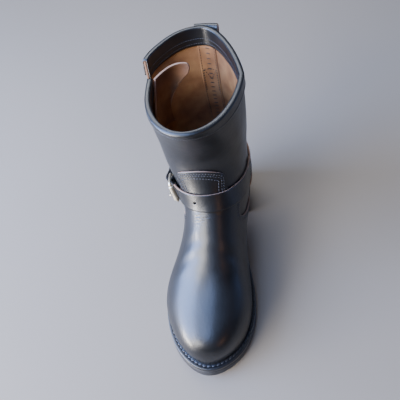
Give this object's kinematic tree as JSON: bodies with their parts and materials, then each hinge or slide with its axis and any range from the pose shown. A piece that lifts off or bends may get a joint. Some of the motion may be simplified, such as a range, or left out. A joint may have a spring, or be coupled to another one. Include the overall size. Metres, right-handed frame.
{
  "type": "engineer boot",
  "caption": "Black leather pull-on engineer boot for the right foot: plain round toe, instep tab, strap with a roller buckle, slit collar with a gusset flap, welted sole and block heel",
  "frame": {"origin": "on the floor plane, under the middle of the boot's bounding box", "axes": "toe to -Y, heel to +Y, inner (medial) side to +X, up +Z"},
  "size_m": [0.1144, 0.308, 0.2485],
  "materials": {
    "black_leather": "smooth, waxed to a gloss",
    "natural_leather": "undyed flesh side, matte",
    "insole_leather": "undyed, matte",
    "sole_rubber": "matte",
    "nickel": "nickel plated, polished"
  },
  "bodies": {
    "root": {"outsole": "sole_rubber", "heel": "sole_rubber", "welt": "black_leather", "insole": "insole_leather", "upper": "black_leather", "vamp": "black_leather", "counter": "black_leather", "backstay": "black_leather", "pull_loop": "black_leather", "collar_facing": "black_leather", "gusset_flap": "natural_leather", "instep_strap": "black_leather", "buckle_strap": "black_leather", "buckle_frame": "nickel", "buckle_roller": "nickel", "buckle_prong": "nickel"}
  },
  "joints": []
}
